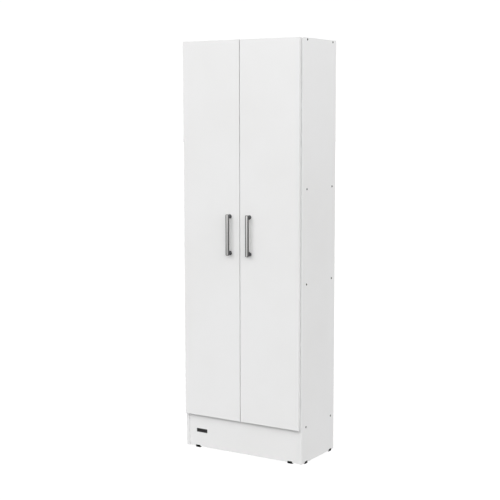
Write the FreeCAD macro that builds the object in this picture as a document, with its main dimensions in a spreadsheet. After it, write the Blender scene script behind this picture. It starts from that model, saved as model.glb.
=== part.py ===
import FreeCAD, Part
import math
import os
import re
import Sketcher
from FreeCAD import Placement, Rotation, Vector

# A tall two-door broom cupboard of melamine-faced board.
# Frame: +X to the right, +Y to the back, +Z up, millimetres.
# The origin is on the floor, under the middle of the whole cupboard, handles included.

doc = FreeCAD.newDocument("BroomCupboard")
sheet = doc.addObject("Spreadsheet::Sheet", "Dimensions")

# Driving dimensions: alias, value, what it is.
DRIVING = [
    ("case_width", 600, "outside of one side panel to outside of the other"),
    ("case_depth", 294, "front edge to back edge of a side panel"),
    ("case_height", 1820, "floor to top"),
    ("board", 15, "thickness of every board"),
    ("edge_ease", 0.8, "bevel of the edging at the seen corners"),
    ("back_board", 3, "thickness of the hardboard back"),
    ("rebate_width", 8, "how far the back laps each side panel"),
    ("back_play", 0.5, "play round the hardboard back"),
    ("floor_gap", 5, "height of the glides"),
    ("plinth_height", 150, "height of the plinth board"),
    ("plinth_setback", 4.5, "plinth behind the front edges of the sides"),
    ("shelf_spread", 405.5, "centre to centre of the two shelves"),
    ("shelf_setback", 12, "shelf behind the front edges of the sides"),
    ("row_front", 39, "front row of assembly screws, from the front edge"),
    ("row_back", 264, "back row of assembly screws, from the front edge"),
    ("screw_shank", 7, "assembly screw, shank diameter"),
    ("screw_head", 10, "assembly screw, head diameter"),
    ("screw_long", 50, "assembly screw, length"),
    ("screw_sides", 6, "sides of a screw and its bore"),
    ("spare", 0.5, "block above a countersunk head that is cut away again"),
    ("bore_deep", 36, "bore for an assembly screw in a board's end"),
    ("door_gap", 3, "back of a door to the front edges of the carcase"),
    ("door_lap", 8, "how far a door laps the side panel"),
    ("meeting_gap", 3, "gap between the two doors"),
    ("door_drop", 1.5, "bottom of a door above the base panel's underside"),
    ("hinge_inset", 100, "end of a door to the nearest hinge"),
    ("cup_wide", 35, "hinge cup, diameter"),
    ("cup_deep", 11.5, "hinge cup, depth below the back of the door"),
    ("cup_bore", 12, "bore for a hinge cup"),
    ("cup_edge", 2.5, "door edge to the hinge cup"),
    ("cup_wall", 0.8, "hinge cup, wall"),
    ("cup_rim", 2, "hinge cup, width of the rim"),
    ("cup_notch", 4.8, "hinge cup, half width of the notch that the open arm lies in"),
    ("cup_notch_deep", 4, "hinge cup, depth of the notch"),
    ("metal", 1.2, "thin sheet: rim and wings of a cup, strike plate"),
    ("wing_reach", 30, "hinge cup, centre to the end of a wing"),
    ("wing_half", 7, "hinge cup, half the width of a wing"),
    ("wing_shift", 6, "hinge cup, wing screws inward of the centre"),
    ("wing_screw", 24, "hinge cup, centre to a wing screw"),
    ("wing_corner", 3.5, "hinge cup, bevel at the corners of a wing"),
    ("pin_in", 6.28, "hinge pin inward of the door's edge"),
    ("pin_down", 8.3, "hinge pin below the back of the door"),
    ("pin_wide", 2, "hinge pin, diameter"),
    ("pin_half", 8, "hinge pin, half length"),
    ("pin_play", 0.05, "hinge pin, play on the radius"),
    ("ear_in", 5.2, "cup ear, inner face from the middle"),
    ("ear_low", 2.1, "cup ear, reach past the pin towards the edge"),
    ("ear_high", 2.5, "cup ear, reach past the pin, other ways"),
    ("eye_round", 2.1, "hinge arm, radius of the eye"),
    ("nose_half", 4, "hinge arm, half width of the nose"),
    ("nose_thick", 1.6, "hinge arm, thickness of the nose and the web"),
    ("nose_lap", 1, "hinge arm, neck past the front edges of the carcase"),
    ("nose_turn", 2, "hinge arm, bevel at the turn of the nose"),
    ("web_low", 23.5, "hinge arm, web above the outside of the case"),
    ("arm_half", 8, "hinge arm, half width of the channel"),
    ("arm_wall", 1.4, "hinge arm, wall of the channel"),
    ("arm_long", 62, "hinge arm, end from the front edge"),
    ("arm_flange", 12, "hinge arm, start of the flanges"),
    ("plate_front", 22, "mounting plate, front end"),
    ("plate_back", 60, "mounting plate, back end"),
    ("plate_half", 6, "mounting plate, half width of the raised middle"),
    ("plate_thick", 2.5, "mounting plate, thickness of the wings"),
    ("plate_wing", 24, "mounting plate, reach of a wing"),
    ("plate_wing_half", 6, "mounting plate, half depth of a wing"),
    ("plate_row", 37, "mounting plate, screw row from the front edge"),
    ("plate_screw", 16, "mounting plate, middle to a screw"),
    ("clamp_row", 50, "hinge arm, clamp screw from the front edge"),
    ("clamp_wide", 5, "clamp screw, diameter"),
    ("clamp_long", 10, "clamp screw, length under the head"),
    ("slot_row", 30, "hinge arm, middle of the setting slot"),
    ("slot_half", 4, "hinge arm, half length of the setting slot"),
    ("slot_thick", 2.5, "hinge arm, half width of the setting slot"),
    ("fix_shank", 3.5, "small screw, shank diameter"),
    ("fix_head", 5.6, "small screw, head diameter"),
    ("fix_bore", 12, "small screw, length, and depth of its bore"),
    ("handle_inset", 50, "middle of the cupboard to a handle"),
    ("handle_level", 984.5, "middle of a handle above the floor"),
    ("handle_long", 180, "handle bar, length"),
    ("handle_wide", 17, "handle bar, width"),
    ("handle_thick", 9, "handle bar, thickness"),
    ("handle_corner", 3.5, "handle bar, cut at the corners"),
    ("handle_crown", 6, "handle bar, radius of the front edges"),
    ("handle_reach", 28, "face of a door to the front of the handle"),
    ("post_spacing", 160, "handle posts, centre to centre"),
    ("post_wide", 15, "handle post, diameter"),
    ("post_bore", 11, "handle post, depth of the threaded bore"),
    ("bolt_wide", 4, "handle screw, diameter"),
    ("bolt_bite", 10, "handle screw, length inside a post"),
    ("pan_wide", 8, "pan head of a handle or clamp screw, diameter"),
    ("pan_high", 2.4, "pan head, height"),
    ("catch_centre", 40, "middle of the cupboard to a catch"),
    ("catch_wide", 46, "catch, width over the ears"),
    ("catch_deep", 14, "catch, depth"),
    ("catch_high", 13, "catch, height"),
    ("catch_ear", 8, "catch, width of an ear"),
    ("catch_ear_thick", 4, "catch, thickness of an ear"),
    ("magnet_wide", 26, "catch magnet, width"),
    ("magnet_deep", 11, "catch magnet, depth"),
    ("magnet_high", 3.8, "catch magnet, height"),
    ("pole_thick", 1.6, "catch pole plate, thickness"),
    ("pole_reach", 1.4, "catch pole plate, reach in front of the body"),
    ("strike_wide", 44, "strike plate, width"),
    ("strike_high", 12, "strike plate, height"),
    ("strike_screw", 17.5, "strike plate, middle to a screw"),
    ("bumper_wide", 8, "door bumper, diameter"),
    ("bumper_thick", 2.6, "door bumper, thickness"),
    ("bumper_inset", 25, "middle of the cupboard to a bumper"),
    ("glide_long", 25, "glide, length"),
    ("glide_wide", 12, "glide, width"),
    ("glide_corner", 3, "glide, bevel at the upright corners"),
    ("glide_ease", 1, "glide, bevel round the foot"),
    ("glide_front", 43, "front side glide, from the front edge"),
    ("glide_back", 263, "back side glide, from the front edge"),
    ("glide_inset", 240, "middle of the cupboard to a plinth glide"),
    ("spike_wide", 2, "moulded-in nail of a glide, diameter"),
    ("spike_long", 16, "moulded-in nail of a glide, length"),
    ("bracket_leg", 22, "plinth bracket, leg"),
    ("bracket_thick", 1.5, "plinth bracket, sheet"),
    ("bracket_high", 30, "plinth bracket, height"),
    ("bracket_up", 40, "bottom of the plinth to a bracket"),
    ("bracket_hole", 12, "plinth bracket, corner to a hole"),
    ("plate_wide", 56, "blank plate on the plinth, width"),
    ("plate_high", 16.5, "blank plate, height"),
    ("plate_deep", 1.2, "blank plate, thickness"),
    ("plate_corner", 1.5, "blank plate, corner radius"),
    ("plate_border", 1.2, "blank plate, width of the raised border"),
    ("plate_sunk", 0.4, "blank plate, depth of its face below the border"),
    ("plate_inset", 53.5, "left side of the case to the blank plate"),
    ("plate_up", 67, "bottom of the plinth to the blank plate"),
]
aliases = set()
for row, (alias, value, meaning) in enumerate(DRIVING, start=1):
    sheet.set(f"A{row}", meaning)
    sheet.set(f"B{row}", str(value))
    sheet.setAlias(f"B{row}", alias)
    aliases.add(alias)
doc.recompute()

# Places that several pieces share, as formulas of the driving dimensions.
BACK = "(case_depth + door_gap + board + handle_reach) / 2"
FRONT = "((door_gap + board + handle_reach - case_depth) / 2)"
HALF = "(case_width / 2)"
INNER = "(case_width / 2 - board)"
INSIDE_WIDTH = "(case_width - 2 * board)"
INSIDE_DEPTH = "(case_depth - back_board)"
BASE_LOW = "(floor_gap + plinth_height)"
TOP_LOW = "(case_height - board)"
MIDDLE = f"((case_height + {BASE_LOW}) / 2)"
SHELF_LEVELS = [f"({MIDDLE} - shelf_spread / 2)", f"({MIDDLE} + shelf_spread / 2)"]
END_LEVELS = [f"({BASE_LOW} + board / 2)", f"({TOP_LOW} + board / 2)"]
DOOR_LOW = f"({BASE_LOW} + door_drop)"
DOOR_WIDE = "(case_width / 2 - board + door_lap - meeting_gap / 2)"
DOOR_BACK = f"({FRONT} - door_gap)"
DOOR_FACE = f"({FRONT} - door_gap - board)"
HINGE_LEVELS = [
    f"({DOOR_LOW} + hinge_inset)",
    f"((case_height + {DOOR_LOW}) / 2)",
    "(case_height - hinge_inset)",
]
ROWS = ["row_front", "row_back"]
PLINTH_BACK = f"({FRONT} + plinth_setback + board)"
BRACKET_LEVEL = "(floor_gap + bracket_up + bracket_high / 2)"
EAR_SCREW = "(catch_wide / 2 - catch_ear / 2)"
CATCH_LEVEL = f"({TOP_LOW} - catch_high / 2)"

# The way a screw's head faces, for a screw modelled with its head up.
HEAD_UP = Rotation()
HEAD_DOWN = Rotation(Vector(1, 0, 0), 180)
HEAD_RIGHT = Rotation(Vector(1, 1, 1), 120)
HEAD_LEFT = Rotation(Vector(0, 0, 1), 180) * HEAD_RIGHT
HEAD_BACK = Rotation(Vector(1, 0, 0), -90)
HEAD_FRONT = Rotation(Vector(1, 0, 0), 90)
UPRIGHT = Rotation()
HALF_TURN = Rotation(Vector(0, 1, 0), 180)
QUARTER_TURN = Rotation(Vector(0, 0, 1), 90)

# An XZ sketch looks along +Y, so its normal is -Y.
NORMALS = {"XY_Plane": 1, "XZ_Plane": -1, "YZ_Plane": 1}
AXES = {"XY_Plane": "Z", "XZ_Plane": "Y", "YZ_Plane": "X"}
SIDES = int(sheet.get("screw_sides"))
nodes = {}


def cells(formula):
    """The formula with each alias written as a reference to the sheet."""
    def refer(match):
        word = match.group()
        return f"Dimensions.{word}" if word in aliases else word
    return re.sub(r"[a-z_]+", refer, formula)


def place(piece, x, y, z, turn=UPRIGHT):
    piece.Placement = Placement(Vector(), turn)
    for axis, formula in zip("xyz", (x, y, z)):
        piece.setExpression(f"Placement.Base.{axis}", cells(formula))


def newBody(label, keep=True):
    body = doc.addObject("PartDesign::Body", label)
    body.Label = label
    if keep:
        nodes[label] = body
    return body


def sketch(body, role, at="0"):
    """An empty sketch parallel to one of the body's own planes, at a place along its axis."""
    plane = next(item for item in body.Origin.OriginFeatures if item.Role == role)
    drawing = body.newObject("Sketcher::SketchObject", f"{body.Label}_sketch")
    drawing.AttachmentSupport = [(plane, "")]
    drawing.MapMode = "FlatFace"
    drawing.setExpression("AttachmentOffset.Base.z", cells(f"{NORMALS[role]} * ({at})"))
    drawing.addProperty("App::PropertyInteger", "Facing")
    drawing.Facing = NORMALS[role]
    return drawing


def pin(drawing, shape, end, x, y):
    """Ties one point of a sketch to the origin by its two distances."""
    for kind, axis, formula in (("DistanceX", -2, x), ("DistanceY", -1, y)):
        if formula == "0":
            drawing.addConstraint(Sketcher.Constraint("PointOnObject", shape, end, axis))
        else:
            tie = Sketcher.Constraint(kind, -1, 1, shape, end, 1.0)
            index = drawing.addConstraint(tie)
            drawing.setExpression(f"Constraints[{index}]", cells(formula))


def outline(drawing, corners):
    """A closed outline of straight lines through the given corners."""
    first = drawing.GeometryCount
    count = len(corners)
    for index in range(count):
        start = Vector(index, index * index, 0)
        finish = Vector(index + 1, (index + 1) * (index + 1), 0)
        drawing.addGeometry(Part.LineSegment(start, finish))
    for index in range(count):
        follower = first + (index + 1) % count
        drawing.addConstraint(Sketcher.Constraint("Coincident", first + index, 2, follower, 1))
    for index, (x, y) in enumerate(corners):
        pin(drawing, first + index, 1, x, y)


def rectangle(left, low, right, high):
    return [(left, low), (right, low), (right, high), (left, high)]


def polygons(drawing, centres, diameter, sides=SIDES):
    """Regular polygons with their corners on circles of the given diameter."""
    angles = [360 * (step + 0.5) / sides for step in range(sides)]
    for x, y in centres:
        outline(drawing, [
            (f"{x} + {diameter} / 2 * cos({angle})", f"{y} + {diameter} / 2 * sin({angle})")
            for angle in angles
        ])


def circles(drawing, centres, diameter):
    for index, (x, y) in enumerate(centres):
        round_line = Part.Circle(Vector(index * 50, 5, 0), Vector(0, 0, 1), 2)
        drawing.addGeometry(round_line)
        pin(drawing, index, 3, x, y)
        if index == 0:
            tie = drawing.addConstraint(Sketcher.Constraint("Diameter", 0, 2.0))
            drawing.setExpression(f"Constraints[{tie}]", cells(diameter))
        else:
            drawing.addConstraint(Sketcher.Constraint("Equal", 0, index))


def volume(body):
    return body.Shape.Volume if body.Tip else 0


def pad(body, drawing, length, way):
    """Adds material; way is 1 or -1 along the sketch's axis, or 0 for both ways."""
    feature = body.newObject("PartDesign::Pad", f"{body.Label}_pad")
    feature.Profile = drawing
    feature.setExpression("Length", cells(length))
    feature.Midplane = way == 0
    feature.Reversed = way * drawing.Facing < 0
    doc.recompute()
    return feature


def pocket(body, drawing, length, way):
    """Takes material away; way as for a pad."""
    before = volume(body)
    feature = body.newObject("PartDesign::Pocket", f"{body.Label}_pocket")
    feature.Profile = drawing
    feature.setExpression("Length", cells(length))
    feature.Midplane = way == 0
    feature.Reversed = way * drawing.Facing > 0
    doc.recompute()
    if volume(body) >= before:
        raise RuntimeError(f"a pocket of {body.Label} cuts nothing")
    return feature


def drill(body, role, at, centres, diameter, length, way):
    """Round holes with flat bottoms."""
    drawing = sketch(body, role, at)
    circles(drawing, centres, diameter)
    return pocket(body, drawing, length, way)


def bore(body, role, at, centres, diameter, length, way):
    """Small holes for screws, drawn with few sides as the screws are."""
    drawing = sketch(body, role, at)
    polygons(drawing, centres, diameter)
    return pocket(body, drawing, length, way)


def headSlope(shank, head):
    """Height of the cone of a 90 degree countersunk head, on the middle of a side."""
    return f"(({head} - {shank}) / 2 * cos({180 / SIDES}))"


def sink(body, role, at, centres, kind, length, way):
    """Countersunk holes for one kind of screw, right through a length of material."""
    shank = kind[0]
    axis = AXES[role]
    hole = bore(body, role, at, centres, shank, length, way)
    mouth = getattr(hole.Profile[0].Placement.Base, axis.lower())
    side = sheet.get(shank) * math.sin(math.pi / SIDES)

    def atMouth(box):
        low, high = getattr(box, f"{axis}Min"), getattr(box, f"{axis}Max")
        return near(low, mouth) and near(high, mouth) and near(box.DiagonalLength, side)

    bevelEdges(body, headSlope(*kind), atMouth)


def dressEdges(body, kind, size, wanted):
    """Dresses the edges of the body for which wanted(bounds of the edge) is true."""
    base = body.Tip
    names = [
        f"Edge{index}"
        for index, edge in enumerate(base.Shape.Edges, start=1)
        if wanted(edge.BoundBox)
    ]
    feature = body.newObject(f"PartDesign::{kind}", f"{body.Label}_edges")
    feature.Base = (base, names)
    feature.setExpression("Radius" if kind == "Fillet" else "Size", cells(size))
    doc.recompute()
    return feature


def roundEdges(body, radius, wanted):
    return dressEdges(body, "Fillet", radius, wanted)


def bevelEdges(body, size, wanted):
    return dressEdges(body, "Chamfer", size, wanted)


def near(first, second):
    return abs(first - second) < 0.01


def upright(bounds):
    """The edge runs along Z."""
    return bounds.ZLength > 0.1 and bounds.XLength < 0.01 and bounds.YLength < 0.01


def levelAcross(bounds):
    """The edge runs along Y."""
    return bounds.YLength > 0.1 and bounds.XLength < 0.01 and bounds.ZLength < 0.01


def copies(label, master, places):
    """One node of like pieces: the master at each place, as (x, y, z, turn)."""
    links = []
    for index, (x, y, z, turn) in enumerate(places):
        link = doc.addObject("App::Link", f"{label}_{index}")
        link.LinkedObject = master
        link.LinkTransform = False
        place(link, x, y, z, turn)
        links.append(link)
    group = doc.addObject("Part::Compound", label)
    group.Label = label
    group.Links = links
    nodes[label] = group
    return group


def panel(label, across, deep, high, x, y, z):
    body = newBody(label)
    drawing = sketch(body, "XY_Plane")
    outline(drawing, rectangle("0", "0", across, deep))
    pad(body, drawing, high, 1)
    place(body, x, y, z)
    return body


# ---- Fasteners, each modelled once with its head up at the origin ----

# Shank and head of the two countersunk screws.
ASSEMBLY = ("screw_shank", "screw_head")
SMALL = ("fix_shank", "fix_head")


def sunkScrew(label, kind, length):
    """A countersunk screw: a cone over a plain shank."""
    shank, head = kind
    slope = headSlope(*kind)
    body = newBody(label, keep=False)
    # A bevel can't use up a whole face, so the cone is cut from a higher block.
    top = sketch(body, "XY_Plane", "spare")
    polygons(top, [("0", "0")], head)
    pad(body, top, f"{slope} + spare", -1)
    under = body.Shape.BoundBox.ZMin
    bevelEdges(body, slope, lambda box: near(box.ZMax, under))
    waste = sketch(body, "XY_Plane")
    outline(waste, rectangle(f"-{head}", f"-{head}", head, head))
    pocket(body, waste, "spare", 1)
    shaft = sketch(body, "XY_Plane")
    polygons(shaft, [("0", "0")], shank)
    pad(body, shaft, length, -1)
    return body


def panScrew(label, diameter, length):
    """A machine screw; its head stands on the plane of the origin."""
    body = newBody(label, keep=False)
    head = sketch(body, "XY_Plane")
    polygons(head, [("0", "0")], "pan_wide")
    pad(body, head, "pan_high", 1)
    shaft = sketch(body, "XY_Plane")
    polygons(shaft, [("0", "0")], diameter)
    pad(body, shaft, length, -1)
    return body


# ---- Carcase ----

def sidePanel(label, hand):
    """A side with its rebate for the back; hand is -1 on the left, 1 on the right."""
    body = newBody(label)
    section = sketch(body, "XY_Plane")
    rebate_start = "case_depth - back_board"
    if hand < 0:
        outline(section, [
            ("0", "0"), ("board", "0"), ("board", rebate_start),
            ("board - rebate_width", rebate_start),
            ("board - rebate_width", "case_depth"), ("0", "case_depth"),
        ])
    else:
        outline(section, [
            ("0", "0"), ("board", "0"), ("board", "case_depth"),
            ("rebate_width", "case_depth"), ("rebate_width", rebate_start),
            ("0", rebate_start),
        ])
    pad(body, section, "case_height - floor_gap", 1)
    bevelEdges(body, "edge_ease", lambda box: upright(box) and near(box.YMin, 0))
    outer, inner = ("0", "board") if hand < 0 else ("board", "0")
    levels = END_LEVELS if hand < 0 else END_LEVELS + SHELF_LEVELS
    centres = [(row, f"{level} - floor_gap") for level in levels for row in ROWS]
    sink(body, "YZ_Plane", outer, centres, ASSEMBLY, "board", -hand)
    small = [
        ("plate_row", f"{level} - floor_gap {sign} plate_screw")
        for level in HINGE_LEVELS for sign in "-+"
    ]
    small.append(("plinth_setback + board + bracket_hole", f"{BRACKET_LEVEL} - floor_gap"))
    bore(body, "YZ_Plane", inner, small, "fix_shank", "fix_bore", hand)
    place(body, f"-{HALF}" if hand < 0 else INNER, FRONT, "floor_gap")
    return body


def endBores(body, across, rows):
    """Bores for the assembly screws in both ends of a level board."""
    centres = [(row, "board / 2") for row in rows]
    bore(body, "YZ_Plane", "0", centres, "screw_shank", "bore_deep", 1)
    bore(body, "YZ_Plane", across, centres, "screw_shank", "bore_deep", -1)


def topPanel():
    body = panel("top_panel", INSIDE_WIDTH, INSIDE_DEPTH, "board", f"-{INNER}", FRONT, TOP_LOW)
    endBores(body, INSIDE_WIDTH, ROWS)
    middle = [(f"{INSIDE_WIDTH} / 2", row) for row in ROWS]
    sink(body, "XY_Plane", "board", middle, ASSEMBLY, "board", -1)
    ears = [
        (f"{INSIDE_WIDTH} / 2 {side} catch_centre {ear} {EAR_SCREW}", "catch_deep / 2")
        for side in "-+" for ear in "-+"
    ]
    bore(body, "XY_Plane", "0", ears, "fix_shank", "fix_bore - catch_ear_thick", 1)


def basePanel():
    body = panel("base_panel", INSIDE_WIDTH, INSIDE_DEPTH, "board", f"-{INNER}", FRONT, BASE_LOW)
    endBores(body, INSIDE_WIDTH, ROWS)
    middle = [(f"{INSIDE_WIDTH} / 2", row) for row in ROWS]
    sink(body, "XY_Plane", "0", middle, ASSEMBLY, "board", 1)


def centreDivider():
    high = f"({TOP_LOW} - {BASE_LOW} - board)"
    low = f"({BASE_LOW} + board)"
    body = panel("centre_divider", "board", INSIDE_DEPTH, high, "-board / 2", FRONT, low)
    ends = [("board / 2", row) for row in ROWS]
    bore(body, "XY_Plane", "0", ends, "screw_shank", "bore_deep", 1)
    bore(body, "XY_Plane", high, ends, "screw_shank", "bore_deep", -1)
    shelves = [(row, f"{level} - {low}") for level in SHELF_LEVELS for row in ROWS]
    sink(body, "YZ_Plane", "0", shelves, ASSEMBLY, "board", 1)


def shelf(label, level):
    across = f"({INNER} - board / 2)"
    deep = f"({INSIDE_DEPTH} - shelf_setback)"
    body = panel(label, across, deep, "board", "board / 2", f"{FRONT} + shelf_setback",
                 f"{level} - board / 2")
    endBores(body, across, [f"{row} - shelf_setback" for row in ROWS])


def plinthBoard():
    body = panel("plinth_board", INSIDE_WIDTH, "board", "plinth_height",
                 f"-{INNER}", f"{FRONT} + plinth_setback", "floor_gap")
    level = f"{BRACKET_LEVEL} - floor_gap"
    centres = [("bracket_hole", level), (f"{INSIDE_WIDTH} - bracket_hole", level)]
    bore(body, "XZ_Plane", "board", centres, "fix_shank", "fix_bore", -1)


def backPanel():
    """The hardboard back, in the rebates of the sides and over the edges of the rest."""
    across = f"({INSIDE_WIDTH} + 2 * rebate_width - 2 * back_play)"
    high = f"(case_height - {BASE_LOW} - 2 * back_play)"
    left = f"(-({INNER} + rebate_width - back_play))"
    low = f"({BASE_LOW} + back_play)"
    panel("back_panel", across, "back_board", high, left, f"{BACK} - back_board", low)


def assemblyScrews():
    master = sunkScrew("assembly_screw", ASSEMBLY, "screw_long")
    rows = [f"({FRONT} + {row})" for row in ROWS]
    places = []
    for y in rows:
        places += [(f"-{HALF}", y, level, HEAD_LEFT) for level in END_LEVELS]
        places += [(HALF, y, level, HEAD_RIGHT) for level in END_LEVELS + SHELF_LEVELS]
        places += [("-board / 2", y, level, HEAD_LEFT) for level in SHELF_LEVELS]
        places.append(("0", y, "case_height", HEAD_UP))
        places.append(("0", y, BASE_LOW, HEAD_DOWN))
    copies("assembly_screws", master, places)


def plinthBrackets(screw):
    """Sheet-steel angles that hold the plinth to the sides."""
    body = newBody("plinth_bracket", keep=False)
    section = sketch(body, "XY_Plane")
    outline(section, [
        ("0", "0"), ("bracket_leg", "0"), ("bracket_leg", "bracket_thick"),
        ("bracket_thick", "bracket_thick"), ("bracket_thick", "bracket_leg"),
        ("0", "bracket_leg"),
    ])
    pad(body, section, "bracket_high", 1)
    centre = [("bracket_hole", "bracket_high / 2")]
    sink(body, "XZ_Plane", "bracket_thick", centre, SMALL, "bracket_thick", -1)
    sink(body, "YZ_Plane", "bracket_thick", centre, SMALL, "bracket_thick", -1)
    low = "floor_gap + bracket_up"
    copies("plinth_brackets", body, [
        (f"-{INNER}", PLINTH_BACK, low, UPRIGHT),
        (INNER, PLINTH_BACK, low, QUARTER_TURN),
    ])
    across = f"({INNER} - bracket_hole)"
    wall = f"({INNER} - bracket_thick)"
    copies("bracket_screws", screw, [
        (f"-{across}", f"{PLINTH_BACK} + bracket_thick", BRACKET_LEVEL, HEAD_BACK),
        (across, f"{PLINTH_BACK} + bracket_thick", BRACKET_LEVEL, HEAD_BACK),
        (f"-{wall}", f"{PLINTH_BACK} + bracket_hole", BRACKET_LEVEL, HEAD_RIGHT),
        (wall, f"{PLINTH_BACK} + bracket_hole", BRACKET_LEVEL, HEAD_LEFT),
    ])


def blankPlate():
    """The plain plate on the plinth: a raised border round a bare face."""
    body = newBody("plinth_plate")
    drawing = sketch(body, "XZ_Plane")
    outline(drawing, rectangle("0", "0", "plate_wide", "plate_high"))
    pad(body, drawing, "plate_deep", -1)
    bevelEdges(body, "plate_corner", levelAcross)
    face = sketch(body, "XZ_Plane", "-plate_deep")
    outline(face, rectangle("plate_border", "plate_border", "plate_wide - plate_border",
                            "plate_high - plate_border"))
    pocket(body, face, "plate_sunk", 1)
    place(body, f"plate_inset - {HALF}", f"{FRONT} + plinth_setback", "floor_gap + plate_up")


def glides():
    """Nail-on glides: four under the side panels and two under the plinth."""
    body = newBody("glide", keep=False)
    drawing = sketch(body, "XY_Plane")
    outline(drawing, rectangle("-glide_long / 2", "-glide_wide / 2",
                               "glide_long / 2", "glide_wide / 2"))
    pad(body, drawing, "floor_gap", 1)
    bevelEdges(body, "glide_corner", upright)
    bevelEdges(body, "glide_ease", lambda box: near(box.ZMax, 0))
    nail = sketch(body, "XY_Plane", "floor_gap")
    polygons(nail, [("0", "0")], "spike_wide")
    pad(body, nail, "spike_long", 1)
    side = f"({HALF} - board / 2)"
    depths = [f"{FRONT} + glide_front", f"{FRONT} + glide_back"]
    copies("side_glides", body,
           [(f"{sign}{side}", y, "0", QUARTER_TURN) for sign in ("-", "") for y in depths])
    copies("plinth_glides", body,
           [(f"{sign}glide_inset", f"{PLINTH_BACK} - board / 2", "0", UPRIGHT)
            for sign in ("-", "")])


# ---- Hinges: single-joint cup hinges ----
# A hinge's own frame: X from the outside of the case inward, Y back from the front edges
# of the carcase, Z up from the middle of the hinge. It is the same upside down, so a half
# turn about Y makes the right-hand one.

PIN_X = "(board - door_lap + pin_in)"
PIN_Y = "(-(door_gap + pin_down))"
WEB_TOP = "(web_low + nose_thick)"
EYE_SIDES = 8


def hingeArm():
    """A channel with a gooseneck nose that reaches round the door's edge to the pin."""
    body = newBody("hinge_arm", keep=False)
    neck = sketch(body, "XY_Plane")
    low = f"({PIN_Y} - nose_thick / 2)"
    high = f"({PIN_Y} + nose_thick / 2)"
    outline(neck, [
        (PIN_X, low), (f"{WEB_TOP} - nose_turn", low), (WEB_TOP, f"{low} + nose_turn"),
        (WEB_TOP, "nose_lap"), ("web_low", "nose_lap"),
        ("web_low", f"{high} + nose_turn / 2"), (f"web_low - nose_turn / 2", high),
        (PIN_X, high),
    ])
    pad(body, neck, "2 * nose_half", 0)
    eye = sketch(body, "XY_Plane")
    polygons(eye, [(PIN_X, PIN_Y)], "2 * eye_round", EYE_SIDES)
    pad(body, eye, "2 * nose_half", 0)
    pin_hole = sketch(body, "XY_Plane")
    circles(pin_hole, [(PIN_X, PIN_Y)], "pin_wide + 2 * pin_play")
    pocket(body, pin_hole, "2 * nose_half", 0)
    web = sketch(body, "YZ_Plane", "web_low")
    outline(web, [
        ("0", "-nose_half"), ("arm_flange / 2", "-arm_half"), ("arm_long", "-arm_half"),
        ("arm_long", "arm_half"), ("arm_flange / 2", "arm_half"), ("0", "nose_half"),
    ])
    pad(body, web, "nose_thick", 1)
    foot = "(board + plate_thick + 0.4)"
    for low_wall, high_wall in (("-arm_half", "arm_wall - arm_half"),
                                ("arm_half - arm_wall", "arm_half")):
        flange = sketch(body, "YZ_Plane", foot)
        outline(flange, rectangle("arm_flange", low_wall, "arm_long", high_wall))
        pad(body, flange, f"{WEB_TOP} - {foot}", 1)
    bore(body, "YZ_Plane", WEB_TOP, [("clamp_row", "0")], "clamp_wide", "nose_thick", -1)
    slot = sketch(body, "YZ_Plane", WEB_TOP)
    outline(slot, rectangle("slot_row - slot_half", "-slot_thick",
                            "slot_row + slot_half", "slot_thick"))
    pocket(body, slot, "nose_thick", -1)
    return body


def hingePlate():
    """The cross-shaped plate screwed to the side, with a raised middle for the arm."""
    body = newBody("hinge_plate", keep=False)
    cross = sketch(body, "YZ_Plane", "board")
    outline(cross, [
        ("plate_front", "-plate_half"), ("plate_row - plate_wing_half", "-plate_half"),
        ("plate_row - plate_wing_half", "-plate_wing"),
        ("plate_row + plate_wing_half", "-plate_wing"),
        ("plate_row + plate_wing_half", "-plate_half"), ("plate_back", "-plate_half"),
        ("plate_back", "plate_half"), ("plate_row + plate_wing_half", "plate_half"),
        ("plate_row + plate_wing_half", "plate_wing"),
        ("plate_row - plate_wing_half", "plate_wing"),
        ("plate_row - plate_wing_half", "plate_half"), ("plate_front", "plate_half"),
    ])
    pad(body, cross, "plate_thick", 1)
    reach = sheet.get("plate_wing")
    bevelEdges(body, "wing_corner", lambda box: box.XLength > 0.1
               and box.ZLength < 0.01 and near(abs(box.ZMin), reach) and box.YLength < 0.01)
    middle = sketch(body, "YZ_Plane", "board")
    outline(middle, rectangle("plate_front", "-plate_half", "plate_back", "plate_half"))
    pad(body, middle, "web_low - board", 1)
    screws = [("plate_row", f"{sign}plate_screw") for sign in ("-", "")]
    sink(body, "YZ_Plane", "board + plate_thick", screws, SMALL, "plate_thick", -1)
    bore(body, "YZ_Plane", "web_low", [("clamp_row", "0")], "clamp_wide",
         "web_low - board", -1)
    return body


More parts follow.
